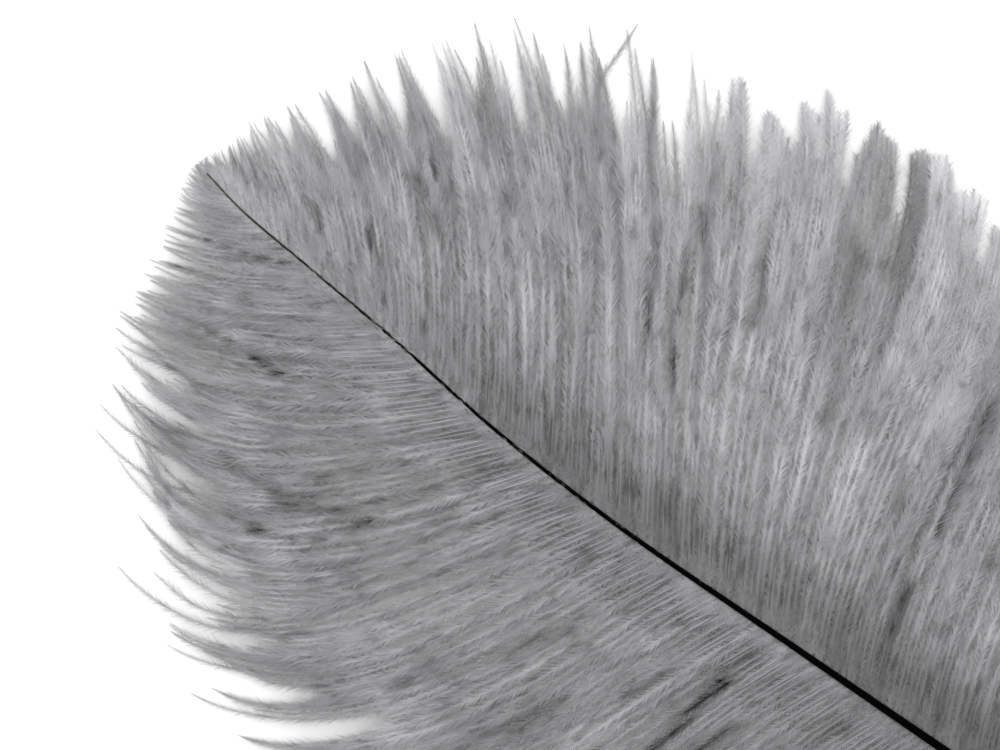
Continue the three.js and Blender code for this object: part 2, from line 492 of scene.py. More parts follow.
def cut_at_gaps(vane, roots):
    """The share of its length at which each barb ends, which is 1 away from the gaps."""
    rng = np.random.default_rng(vane.seed)
    cut = np.ones(len(roots))
    for root, share, width in vane.gaps:
        aside = np.abs(roots - root) / width
        near = aside < 1
        shallower = GAP_TAPER * aside[near] * rng.uniform(0.5, 1.3, near.sum())
        cut[near] = np.minimum(share + shallower, 1)
    return cut


def end_turn(degrees):
    """Extra angle [barb, step] of barbs whose outer thirds turn by these degrees."""
    return degrees[:, None] * ease(SHARES, 0.62, 0.3)


def gather(rng, vane, roots, plan, table, loose, blunt):
    """Draws the barbs' outer ends together into their locks."""
    lock, offset = nearest_lock(table, roots)
    own = table[lock]
    cells = np.arange(len(table))[:, None] * 0.7
    sway = LOCK_SWAY * drift(rng, cells, 1.5 * SHARES) * SHARES ** 2
    sway = sway + end_turn(table[:, TURN])
    centre = grow_plan(vane, table[:, ROOT], table[:, REACH], sway)
    whole = rng.random(len(roots)) < WHOLE_SHARE
    ends = np.where(whole, 1, own[:, ENDS] * rng.uniform(0.94, 1.03, len(roots)))
    lag = ends - 0.14 * offset * rng.uniform(0.3, 1.3, len(roots))
    dome = own[:, ENDS] - BLUNT_FALL * offset**BLUNT_POWER
    lag += blunt[:, 0] * (dome - lag)
    place = np.clip(SHARES * lag[:, None], 0, 1) * (STEPS - 1)
    low = np.minimum(place.astype(int), STEPS - 2)
    part = (place - low)[..., None]
    follow = centre[lock[:, None], low] * (1 - part) + centre[lock[:, None], low + 1] * part
    tight = own[:, TIGHTNESS] * rng.uniform(0.6, 1.1, len(roots)) * (1 - 0.75 * loose)
    start = own[:, GATHERS][:, None]
    pull = np.minimum(tight, 0.97)[:, None] * ease(SHARES, start, 1 - start)
    return plan + pull[..., None] * (follow - plan)


def strand(rng, plan, tightness):
    """Draws neighbouring barbs together, two to four at a time, along their middles."""
    sizes = rng.integers(2, 5, len(plan))
    strand_of = np.repeat(np.arange(len(sizes)), sizes)[: len(plan)]
    count = np.bincount(strand_of)
    middle = np.stack(
        [
            np.stack([np.bincount(strand_of, plan[:, k, axis]) / count for k in range(STEPS)], axis=1)
            for axis in (0, 1)
        ],
        axis=-1,
    )
    hold = 0.3 + 0.5 * drift(rng, strand_of[:, None], SHARES * 5)
    hold = hold * (0.5 * ease(SHARES, 0.2, 0.35) + 0.5 * ease(SHARES, 0.68, 0.2)) * tightness[:, None]
    return plan + hold[..., None] * (middle[strand_of] - plan), strand_of


def barb_roots(rng):
    """Places of the barbs' roots, closer together near the shaft's tip."""
    places = [FIRST_ROOT]
    while places[-1] < LAST_ROOT:
        places.append(places[-1] + BARB_SPACING * (0.5 + 0.5 * ease(places[-1], 0, 30)))
    places = np.array(places)
    return places + rng.uniform(-0.3, 0.3, len(places)) * np.gradient(places)


def barb_lean(rng, roots, table, loose, blunt, steadiness):
    """How far the barbs turn from their guides, in degrees, as [barb, step]."""
    count = len(roots)
    number = np.arange(count)[:, None]
    lean = SHARED_BEND * drift(rng, roots[:, None] / 11, SHARES * 3.5)
    lean += OWN_BEND * (1 - 0.4 * blunt) * drift(rng, number, SHARES * 5)
    loose_turn = rng.uniform(-LOOSE_TURN, LOOSE_TURN, count)[:, None]
    lean += loose[:, None] * loose_turn * ease(SHARES, 0.45, 0.55)
    lean += BLUNT_TURN * blunt * rng.uniform(-1, 1, count)[:, None] * ease(SHARES, 0.8, 0.2)
    lean *= 0.4 + 0.6 * steadiness
    lean -= TIP_FAN * (1 - ease(roots, 0, 12))[:, None]
    return lean + end_turn(np.interp(roots, table[:, ROOT], table[:, TURN]))


def barb_reach(rng, roots, table, blunt):
    """How long the barbs are, as shares of their guides' lengths."""
    count = len(roots)
    reach = 1 + 0.03 * rng.uniform(-1, 1, count) - 0.04 * rng.random(count)
    lock, offset = nearest_lock(table, roots)
    rounded = table[lock, REACH] * (1 - BLUNT_FALL * offset**BLUNT_POWER) * rng.uniform(0.97, 1.0, count)
    return reach + blunt[:, 0] * (rounded - reach)


def fold_shade(roots, folds):
    """How much darker the folds' painted shade makes the barbs, as [barb, step]."""
    painted_shade = np.zeros((len(roots), STEPS))
    for near_root, near, far_root, far, width, depth in folds:
        centre = near_root + (far_root - near_root) * np.clip((SHARES - near) / (far - near), 0, 1)
        window = ease((SHARES - near) / FOLD_FADE + 0.5) * ease((far - SHARES) / FOLD_FADE + 0.5)
        painted_shade += depth * window * np.exp(-(((roots[:, None] - centre) / width) ** 2))
    return painted_shade


def barb_height(rng, roots, lock, length, steadiness, folded):
    """Heights of the barbs above what the plume lies on, as [barb, step]."""
    number = np.arange(len(roots))[:, None]
    root_height = shaft_at(roots)[:, 2][:, None] - ROOT_DROP * shaft_width(roots)[:, None]
    droop = 0.5 + 0.5 * np.cos(np.pi * np.minimum(SHARES / FLAT_FROM, 1))
    layers = BARB_LAYER * drift(rng, number / 1.7, SHARES * 4)
    layers += LOCK_LAYER * drift(rng, lock[:, None] * 0.8, SHARES * 2.5)
    layers *= ease(SHARES * length[:, None], 5, 25)
    crown = CROWN * np.sin(np.pi * SHARES) * steadiness
    height = FLAT_HEIGHT + (root_height - FLAT_HEIGHT) * droop + crown
    height = height + layers * (0.3 + 0.7 * steadiness)
    return np.maximum(height + FOLD_HEIGHT * np.abs(folded), LEAST_HEIGHT)


def barb_tone(rng, vane, roots, from_root, strand_of, lock_tint, stray_tint, blunt, folded):
    """How light the barbs are, as [barb, step]."""
    number = np.arange(len(roots))[:, None]
    tone = 1 + STRAND_TONE * drift(rng, strand_of[:, None], SHARES * 3)
    tone = tone + BARB_TONE * drift(rng, number, SHARES * 5)
    tone = tone + lock_tint * ease(SHARES, 0.4, 0.4)
    tone = tone + (stray_tint + END_TONE) * ease(SHARES, 0.7, 0.3)
    tone = tone + vane.end_tint * ease(SHARES, 0.42, 0.3)
    tone = tone + BLUNT_TONE * blunt * ease(SHARES, 0.84, 0.16)
    tone = tone * (1 - RIDGE_TONE * np.minimum(folded, 0))
    tone = tone * (1 + TIP_TONE * (1 - ease(roots, 0, 35)))[:, None]
    near_shaft = 1 - ease(from_root, 8, 27)
    tone = tone * (1 - vane.root_shade * ease(roots, 8, 110)[:, None] * near_shaft)
    inner_half = 1 - ease(from_root, 45, 50)
    tone = tone * (1 - vane.far_shade * ease(roots, 175, 45)[:, None] * inner_half)
    # painted shade: the whole vane darker or lighter, as if lit less or more
    return tone * vane.painted_shade


def make_barbs(vane):
    """Every barb of one vane: centrelines [barb, step, xyz] in millimetres, and what varies along them."""
    rng = np.random.default_rng(vane.seed)
    roots = barb_roots(rng)
    count = len(roots)
    loose = (rng.random(count) < LOOSE_SHARE).astype(float)
    length = guided(vane.guides, roots)[0]
    steadiness = ease(length, 0, 60)[:, None]
    table = lock_table(rng, vane.locks)
    lock = nearest_lock(table, roots)[0]
    blunt = ease(roots, vane.blunt_from, 8)[:, None]
    lean = barb_lean(rng, roots, table, loose, blunt, steadiness)
    reach = barb_reach(rng, roots, table, blunt)
    cut = cut_at_gaps(vane, roots)
    stray_tint = np.zeros((count, 1))
    for root, far, turn, start, paler in vane.strays:
        stray = np.argmin(np.abs(roots - root))
        stray_tint[stray] = paler
        loose[stray] = STRAY
        reach[stray], cut[stray] = far, 1
        lean[stray] = turn * ease(SHARES, start, 0.08)
    plan = grow_plan(vane, roots, reach, lean)
    plan, strand_of = strand(rng, plan, (1 - 0.9 * blunt[:, 0]) * (loose <= 1))
    plan = gather(rng, vane, roots, plan, table, loose, blunt)

    # painted shade in the folds' slits; the folds' barbs also lie higher
    folded = fold_shade(roots, vane.folds)
    height = barb_height(rng, roots, lock, length, steadiness, folded)
    from_root = SHARES * length[:, None]
    lock_tint = table[lock, TINT][:, None]
    tone = barb_tone(rng, vane, roots, from_root, strand_of, lock_tint, stray_tint, blunt, folded)
    return {
        "roots": roots,
        "lock": lock,
        "parting": table[lock, GATHERS],
        "filled_to": np.minimum(cut, table[lock, ENDS] - 0.1 * (1 - blunt[:, 0])),
        "share": np.broadcast_to(SHARES, (count, STEPS)),
        "end": cut[:, None],
        "number": np.arange(count),
        "length": length * reach,
        "points": np.concatenate([plan, height[..., None]], axis=-1),
        "tone": tone,
        # the folds' painted shade, by which the material darkens the barbs
        "fold_shadow": np.maximum(folded, 0),
        "blunt": blunt,
        "fine": 1 - 0.15 * (loose > 1)[:, None],
        "ruffle": 0.3 * drift(rng, np.arange(count)[:, None] / 1.3, from_root / 5),
    }


def read_at(values, share):
    """Values [barb, step] or points [barb, step, xyz] at other shares of the barbs' lengths."""
    if values.ndim == 3:
        return np.stack([read_at(values[..., axis], share) for axis in range(3)], axis=-1)
    low = np.minimum((share * (STEPS - 1)).astype(int), STEPS - 2)
    part = share * (STEPS - 1) - low
    return np.take_along_axis(values, low, 1) * (1 - part) + np.take_along_axis(values, low + 1, 1) * part


def read_all(barbs, chosen, share):
    """What varies along the chosen barbs, at other shares of their lengths."""
    return {label: read_at(barbs[label][chosen], share) for label in VARYING}


def end_early(barbs):
    """The same barbs, with those at the gaps ending there."""
    share = SHARES * barbs["end"]
    return {**barbs, **read_all(barbs, slice(None), share), "share": share}


def fill_between(barbs, first, last):
    """Finer barbs that part from those rooted between two places, and fill the fan up to the next."""
    near = np.flatnonzero((barbs["roots"][:-1] >= first) & (barbs["roots"][:-1] < last))
    parted = barbs["lock"][near] != barbs["lock"][near + 1]
    end = np.minimum(barbs["filled_to"][near], barbs["filled_to"][near + 1])
    end = np.where(parted, np.minimum(end, barbs["parting"][near] + GAP_INSET), end)[:, None]
    share = FILL_FROM + (end - FILL_FROM) * SHARES
    own, other = read_all(barbs, near, share), read_all(barbs, near + 1, share)
    aside = (0.5 * ease(SHARES, 0, 0.45))[:, None]
    filled = {label: barbs[label][near] for label in ("roots", "length", "blunt", "fine")}
    filled.update({label: (own[label] + other[label]) / 2 for label in ("tone", "fold_shadow", "ruffle")})
    filled["points"] = own["points"] * (1 - aside) + other["points"] * aside
    filled["number"] = barbs["number"][near] + 0.5
    filled["share"] = share
    filled["end"] = end
    return filled


def barb_wires(name, barbs, first, last):
    """Centrelines of the barbs rooted between two places, as edges with the values that the tree reads."""
    chosen = np.flatnonzero((barbs["roots"] >= first) & (barbs["roots"] < last))
    points, share = barbs["points"][chosen], barbs["share"][chosen]
    blunt, ruffle = barbs["blunt"][chosen], barbs["ruffle"][chosen]
    length = barbs["length"][chosen][:, None]
    from_root = share * length
    from_tip = (barbs["end"][chosen] - share) * length
    fray = blunt * ease(share, 0.55, 0.3)
    bare = ease(from_root, 2, 2.5) * (1 - ease(from_root, 9, 16)) * ease(length, 0, 110)

    taper = np.minimum(9, 0.22 * length) * (1 - 0.7 * blunt)
    reach = (0.65 + 0.35 * ease(from_root, 0, 5)) * (1 - (0.88 - 0.5 * blunt) * np.exp(-from_tip / taper))
    reach = reach * (0.27 + 0.73 * ease(length, 0, 60)) * (1 + 0.15 * fray) * barbs["fine"][chosen]
    rise = 0.15 * ease(from_root, 0, 4) - 0.55 * bare - 0.2 * ease(from_root, 9, 16)
    rise = rise + ruffle * (1 - 0.3 * bare)
    splay = 0.35 * (1 - ease(from_root, 0, 2.5)) + 0.16 * ease(share, 0.7, 0.25)
    ramus_tone = 0.8 + bare * (0.35 + 0.6 * ruffle) - 0.05 * ease(share, 0.7, 0.2) + 0.3 * fray
    girth = END_GIRTH + ADDED_GIRTH * (1 - share) ** 1.2
    girth = girth * (0.5 + 0.5 * ease(length, 0, 60)) * (1 - 0.6 * fray)
    values = {
        "along": share,
        "distance": from_root,
        "number": barbs["number"][chosen][:, None],
        "column": np.arange(len(chosen))[:, None] / len(chosen),
        "column_width": 1 / len(chosen),
        "reach": reach,
        "breadth": 1 - (0.65 - 0.2 * blunt) * ease(share, 0.45, 0.5),
        "fray": fray,
        "rise": rise,
        "opening": ease(from_root, 3, 16) * (1 - 0.25 * blunt),
        "splay": splay,
        "ramus_tone": ramus_tone,
        "lift": (2.2 * bare - 1.2) * 0.12 * MM,
        "girth": girth * MM,
        "tone": barbs["tone"][chosen],
        "fold_shadow": barbs["fold_shadow"][chosen],
        "step": 1 / length,
    }
    index = np.arange(points.shape[0] * STEPS).reshape(-1, STEPS)
    edges = np.stack([index[:, :-1].ravel(), index[:, 1:].ravel()], axis=1)
    mesh = bpy.data.meshes.new(name)
    mesh.from_pydata(to_row(points.reshape(-1, 3)), edges, [])
    for label, value in values.items():
        attribute = mesh.attributes.new(label, "FLOAT", "POINT")
        whole = np.broadcast_to(value, (len(chosen), STEPS))
        attribute.data.foreach_set("value", np.ascontiguousarray(whole, np.float32).ravel())
    return mesh


# ---------------- geometry nodes

# Values that only the tree reads, which the finished pieces don't keep.
WIRE_VALUES = (
    "along number distance column column_width step lateral reach breadth rise opening splay fray"
    " girth lift ramus_tone"
).split()
LOWEST = 0.05 * MM  # no point of the barbs lies lower
RAMUS_SHARE = 0.1  # share of a barb's strip of the texture map that its ramus takes up

# How the barbules vary along the barbs and at random: angles in radians, and shares of the sizes given.
SCATTER = (0.1, 0.24)  # how far they tip up and down, at a barb's root and at its tip
FRAYED_SCATTER = 0.12
TURN_SPREAD = 0.33
ROLL_SPREAD = 0.18
LENGTH_SPAN = (0.6, 1.2)
WIDTH_SPAN = (0.7, 1.3)
SPECK_SPAN = (0.94, 1.06)


class Tree:
    """A Geometry Nodes tree with one geometry in, one out, and named inputs."""

    def __init__(self, name, inputs):
        self.group = bpy.data.node_groups.new(name, "GeometryNodeTree")
        face = self.group.interface
        face.new_socket("Geometry", in_out="OUTPUT", socket_type="NodeSocketGeometry")
        face.new_socket("Geometry", in_out="INPUT", socket_type="NodeSocketGeometry")
        self.keys = {}
        for label, kind in inputs.items():
            socket = face.new_socket(label, in_out="INPUT", socket_type="NodeSocket" + kind)
            self.keys[label] = socket.identifier
        self.source = self.group.nodes.new("NodeGroupInput")
        self.sink = self.group.nodes.new("NodeGroupOutput")

    def add(self, kind, *values, **settings):
        """A new node. Its values go to its sockets in order; a socket is linked, None is left alone."""
        node = self.group.nodes.new(kind)
        for key, value in settings.items():
            setattr(node, key, value)
        shown = [socket for socket in node.inputs if socket.enabled]
        for socket, value in zip(shown, values):
            if isinstance(value, bpy.types.NodeSocket):
                self.group.links.new(value, socket)
            elif value is not None:
                socket.default_value = value
        return next(socket for socket in node.outputs if socket.enabled)

    def given(self, label):
        return self.source.outputs[label]

    def named(self, label):
        return self.add("GeometryNodeInputNamedAttribute", label, data_type="FLOAT")

    def math(self, operation, *values):
        return self.add("ShaderNodeMath", *values, operation=operation)

    def plus(self, first, second):
        return self.math("ADD", first, second)

    def times(self, first, second):
        return self.math("MULTIPLY", first, second)

    def vector(self, operation, *values):
        return self.add("ShaderNodeVectorMath", *values, operation=operation)

    def random(self, low, high, salt):
        """A random value for each element, with the tree's seed and a salt of its own."""
        seed = self.plus(self.given("Seed"), float(salt))
        return self.add("FunctionNodeRandomValue", low, high, None, seed, data_type="FLOAT")

    def store(self, geometry, label, value, domain="POINT", data_type="FLOAT"):
        kind = "GeometryNodeStoreNamedAttribute"
        return self.add(kind, geometry, None, label, value, domain=domain, data_type=data_type)

    def finish(self, geometry):
        whole = self.add("GeometryNodeRealizeInstances", geometry)
        painted = self.add("GeometryNodeSetMaterial", whole, None, self.given("Material"))
        self.group.links.new(painted, self.sink.inputs[0])


def barb_tree():
    """Turns barb centrelines into three-sided rami with a row of sliver barbules down each side."""
    tree = Tree(
        "barbs_with_barbules",
        {
            "Barbule Length": "Float",
            "Barbule Width": "Float",
            "Barbule Spacing": "Float",
            "Root Angle": "Float",
            "Tip Angle": "Float",
            "Seed": "Int",
            "Material": "Material",
        },
    )
    curves = tree.add("GeometryNodeMeshToCurve", tree.given("Geometry"))
    curves = tree.add("GeometryNodeSetCurveNormal", curves, mode="Z_UP")

    section = tree.add("GeometryNodeCurvePrimitiveCircle", 3)
    place = tree.add("ShaderNodeSeparateXYZ", tree.add("GeometryNodeInputPosition"))
    sideways = tree.plus(place, tree.times(place.node.outputs["Y"], 0.5))
    section = tree.store(section, "lateral", tree.times(sideways, RAMUS_SHARE))
    section = tree.store(section, "tip", 0.0)
    rami = tree.add("GeometryNodeCurveToMesh", curves, section, tree.named("girth"), False)
    rami = tree.store(rami, "speck", tree.named("ramus_tone"))
    lift = tree.add("ShaderNodeCombineXYZ", None, None, tree.named("lift"))
    rami = tree.add("GeometryNodeSetPosition", rami, None, None, lift)

    joined = tree.group.nodes.new("GeometryNodeJoinGeometry")
    for part in (rami, barbule_row(tree, curves, 1, 0), barbule_row(tree, curves, -1, 100)):
        tree.group.links.new(part, joined.inputs[0])
    whole = tree.add("GeometryNodeRealizeInstances", joined.outputs[0])

    across = tree.plus(tree.times(tree.named("lateral"), 0.8), 0.5)
    u = tree.plus(tree.named("column"), tree.times(across, tree.named("column_width")))
    v = tree.plus(tree.named("along"), tree.times(tree.named("tip"), tree.named("step")))
    v = tree.plus(tree.times(v, 0.96), 0.01)
    whole = tree.store(whole, "OFBake", tree.add("ShaderNodeCombineXYZ", u, v), "CORNER", "FLOAT2")
    x = tree.plus(tree.named("number"), tree.times(tree.named("lateral"), 0.5))
    y = tree.plus(tree.named("distance"), tree.times(tree.named("tip"), 3.0))
    whole = tree.store(whole, "fibre", tree.add("ShaderNodeCombineXYZ", x, y), "POINT", "FLOAT_VECTOR")
    for label in WIRE_VALUES:
        whole = tree.add("GeometryNodeRemoveAttribute", whole, label)
    position = tree.add("ShaderNodeSeparateXYZ", tree.add("GeometryNodeInputPosition"))
    outputs = position.node.outputs
    height = tree.math("MAXIMUM", outputs["Z"], LOWEST)
    lifted = tree.add("ShaderNodeCombineXYZ", outputs["X"], outputs["Y"], height)
    whole = tree.add("GeometryNodeSetPosition", whole, None, lifted)
    tree.finish(whole)
    return tree


def barbule_row(tree, curves, side, salt):
    """Barbules down one side of the barbs: slivers that leave the ramus at an angle, tipped up or down."""
    sliver = tree.add("GeometryNodeMeshCircle", 3, 1.0, fill_type="NGON")
    sliver = tree.add("GeometryNodeTransform", sliver, (0.5, 0, 0))
    sliver = tree.add("GeometryNodeTransform", sliver, None, None, (2 / 3, 1 / math.sqrt(3), 1))
    place = tree.add("ShaderNodeSeparateXYZ", tree.add("GeometryNodeInputPosition"))
    sliver = tree.store(sliver, "lateral", tree.times(place, float(side)))
    sliver = tree.store(sliver, "tip", tree.plus(place, place.node.outputs["Y"]))

    points = tree.group.nodes.new("GeometryNodeCurveToPoints")
    points.mode = "LENGTH"
    tree.group.links.new(curves, points.inputs["Curve"])
    tree.group.links.new(tree.given("Barbule Spacing"), points.inputs["Length"])
    along, across = points.outputs["Tangent"], points.outputs["Normal"]
    up = tree.vector("CROSS_PRODUCT", across, along)

    angles = (tree.given("Root Angle"), tree.given("Tip Angle"))
    opening = tree.add("ShaderNodeMapRange", tree.named("opening"), 0.0, 1.0, *angles)
    wild = tree.plus(tree.times(tree.named("fray"), 0.3), 1.0)
    turned = tree.times(tree.random(-TURN_SPREAD, TURN_SPREAD, salt + 1), wild)
    opening = tree.plus(opening, tree.plus(tree.named("splay"), turned))
    scatter = tree.add("ShaderNodeMapRange", tree.named("along"), 0.0, 1.0, *SCATTER)
    scatter = tree.plus(scatter, tree.times(tree.named("fray"), FRAYED_SCATTER))
    tipped = tree.times(scatter, tree.random(-1.0, 1.0, salt + 2))
    rise = tree.plus(tree.named("rise"), tipped)
    outward = tree.vector("SCALE", across, tree.times(tree.math("SINE", opening), float(side)))
    flat = tree.vector("ADD", tree.vector("SCALE", along, tree.math("COSINE", opening)), outward)
    direction = tree.vector("ADD", flat, tree.vector("SCALE", up, rise))
    rolled = tree.random(-ROLL_SPREAD, ROLL_SPREAD, salt + 3)
    roll = tree.vector("ADD", up, tree.vector("SCALE", across, rolled))
    rotation = tree.add("FunctionNodeAxesToRotation", direction, roll, primary_axis="X", secondary_axis="Z")
    length = tree.times(tree.named("reach"), tree.given("Barbule Length"))
    shorter = tree.times(tree.named("fray"), tree.random(0.0, 0.5, salt + 7))
    spread = tree.math("SUBTRACT", tree.random(*LENGTH_SPAN, salt + 4), shorter)
    length = tree.times(length, spread)
    width = tree.times(tree.given("Barbule Width"), tree.random(*WIDTH_SPAN, salt + 5))
    width = tree.times(width, tree.named("breadth"))
    size = tree.add("ShaderNodeCombineXYZ", length, width, 1.0)
    rooted = tree.store(points.outputs["Points"], "speck", tree.random(*SPECK_SPAN, salt + 6))
    return tree.add("GeometryNodeInstanceOnPoints", rooted, None, sliver, None, None, rotation, size)


def run_tree(name, wires, tree, sizes):
    """Runs a tree on a mesh of wires, and keeps the result as a plain mesh of that name."""
    source = bpy.data.objects.new(name + "_wires", wires)
    bpy.context.scene.collection.objects.link(source)
    modifier = source.modifiers.new("grow", "NODES")
    modifier.node_group = tree.group
    for label, value in sizes.items():
        modifier[tree.keys[label]] = value
    evaluated = source.evaluated_get(bpy.context.evaluated_depsgraph_get())
    mesh = bpy.data.meshes.new_from_object(evaluated)
    source.modifiers.remove(modifier)
    bpy.data.objects.remove(source)
    mesh.name = name
    piece = bpy.data.objects.new(name, mesh)
    bpy.context.scene.collection.objects.link(piece)
    return piece


# ---------------- materials

class Finish:
    """A node material built round one Principled shader."""

    def __init__(self, name):
        self.material = bpy.data.materials.new(name)
        self.material.use_nodes = True
        self.tree = self.material.node_tree
        self.shader = self.tree.nodes["Principled BSDF"]

    def node(self, kind, links=None, **settings):
        node = self.tree.nodes.new(kind)
        for key, value in settings.items():
            setattr(node, key, value)
        for label, value in (links or {}).items():
            if isinstance(value, bpy.types.NodeSocket):
                self.tree.links.new(value, node.inputs[label])
            else:
                node.inputs[label].default_value = value
        return node

    def attribute(self, name):
        return self.node("ShaderNodeAttribute", attribute_name=name).outputs["Fac"]

    def ramp(self, factor, stops):
        node = self.node("ShaderNodeValToRGB", {"Fac": factor})
        bands = node.color_ramp.elements
        for i, (place, value) in enumerate(stops):
            band = bands[i] if i < 2 else bands.new(place)
            band.position = place
            band.color = (value, value, value, 1)
        return node.outputs["Color"]

    def math(self, operation, *values):
        return self.node("ShaderNodeMath", dict(enumerate(values)), operation=operation).outputs[0]

    def times(self, first, second):
        return self.math("MULTIPLY", first, second)

    def noise(self, place, scale, detail, stretch=None):
        """Noise on coordinates, which are stretched first where a stretch is given."""
        if stretch:
            place = self.node("ShaderNodeMapping", {"Vector": place, "Scale": stretch}).outputs["Vector"]
        noise = self.node("ShaderNodeTexNoise", {"Vector": place, "Scale": scale, "Detail": detail})
        return noise.outputs["Fac"]

    def paint(self, grey, blueness=1.0):
        """Links a grey to the base colour, with its blue scaled a little."""
        blue = self.times(grey, blueness)
        colour = self.node("ShaderNodeCombineColor", {"Red": grey, "Green": grey, "Blue": blue})
        self.tree.links.new(colour.outputs["Color"], self.shader.inputs["Base Color"])

    def set(self, **values):
        for label, value in values.items():
            self.shader.inputs[label.replace("_", " ")].default_value = value


DYED_GREY = 0.352
SHEATH_BLACK = 0.0006

# How a noise lightens or darkens the barbs, as stops from its value to a factor.
FOLD_STOPS = [(0.35, 0.88), (0.48, 1), (0.55, 1), (0.7, 1.08)]
# the slits' stops paint shade into narrow gaps along the barbs
SLIT_SHADOW_STOPS = [(0.36, 0.55), (0.45, 1), (0.62, 1), (0.72, 1.08)]
PATCH_STOPS = [(0.3, 0.95), (0.7, 1.05)]


def barb_finish():
    """Grey dyed down: speckled, and broken up by painted shade, dark slits where the barbs part."""
    finish = Finish("dyed_down")
    grey = finish.times(finish.attribute("tone"), DYED_GREY)
    grey = finish.times(grey, finish.attribute("speck"))
    # painted shade: barbs darker in the folds' slits, most near the barbules' roots
    inner = finish.math("SUBTRACT", 1.15, finish.attribute("tip"))
    parted = finish.math("MINIMUM", finish.times(finish.attribute("fold_shadow"), 2.4), 0.92)
    fold_shadow_factor = finish.math("SUBTRACT", 1.0, finish.times(parted, inner))
    grey = finish.times(grey, fold_shadow_factor)
    fibre = finish.node("ShaderNodeAttribute", attribute_name="fibre").outputs["Vector"]
    # painted shade: a stretched noise darkens thin slits along the barbs
    slit_shadow = finish.noise(fibre, 1.0, 2.0, stretch=(2.4, 0.14, 1))
    folds = finish.noise(fibre, 1.0, 2.0, stretch=(0.4, 0.05, 1))
    patches = finish.noise(finish.node("ShaderNodeTexCoord").outputs["Object"], 40.0, 0.0)
    for noise, stops in ((folds, FOLD_STOPS), (slit_shadow, SLIT_SHADOW_STOPS), (patches, PATCH_STOPS)):
        grey = finish.times(grey, finish.ramp(noise, stops))
    finish.paint(grey, 1.03)
    finish.set(Roughness=0.9, Specular_IOR_Level=0.08)
    return finish.material


def shaft_finish():
    """Black keratin with fine lengthwise grain, worn greyer towards the thin tip."""
    finish = Finish("black_keratin")
    surface = finish.node("ShaderNodeUVMap", uv_map="OFBake").outputs["UV"]
    grain = finish.noise(surface, 3.0, 4.0, stretch=(40, 30, 1))
    worn = [(0, 0.06), (0.05, 0.015), (0.12, SHEATH_BLACK), (1, SHEATH_BLACK)]
    tone = finish.ramp(finish.attribute("along"), worn)
    finish.paint(finish.times(tone, finish.math("MULTIPLY_ADD", grain, 0.8, 0.6)))
    rough = finish.math("MULTIPLY_ADD", grain, 0.2, 0.35)
    finish.tree.links.new(rough, finish.shader.inputs["Roughness"])
    bump = finish.node("ShaderNodeBump", {"Height": grain, "Strength": 0.25, "Distance": 0.05 * MM})
    finish.tree.links.new(bump.outputs["Normal"], finish.shader.inputs["Normal"])
    finish.set(Specular_IOR_Level=0.01)
    return finish.material


# ---------------- shaft

POINT_LENGTH, POINT_WIDTH = 12.0, 2.4
OPENING_WIDTH, OPENING_DEPTH = 1.4, 4.0
SHAFT_SIDES = 28
GROOVE_DEPTH = 0.16  # share of the shaft's radius
GROOVE_WIDTH = 0.35  # radians round the shaft
GROOVE_START, GROOVE_FADE_IN, GROOVE_FADE_OUT = 30, 60, 25


def shaft_profile():
    """Distances from the tip and half widths, from the tip round the quill's end into its small opening."""
    body = np.concatenate([[0.0, 0.05, 0.15, 0.3], np.arange(1.5, SHAFT_LENGTH - POINT_LENGTH, 3.0)])
    radius = shaft_width(body) / 2 * np.sqrt(np.clip(body / 0.3, 0, 1))
    turn = np.linspace(0, np.pi / 2, 9)
    full = shaft_width(SHAFT_LENGTH) / 2
    end = SHAFT_LENGTH - POINT_LENGTH + POINT_LENGTH * np.sin(turn)
    end_radius = POINT_WIDTH / 2 + (full - POINT_WIDTH / 2) * np.cos(turn)
    mouth = OPENING_WIDTH / 2
    inner = SHAFT_LENGTH - OPENING_DEPTH * np.array([0, 0.1, 0.7, 1])
    inner_radius = np.array([mouth, 0.95 * mouth, 0.8 * mouth, 0])
    return np.concatenate([body, end, inner]), np.concatenate([radius, end_radius, inner_radius])


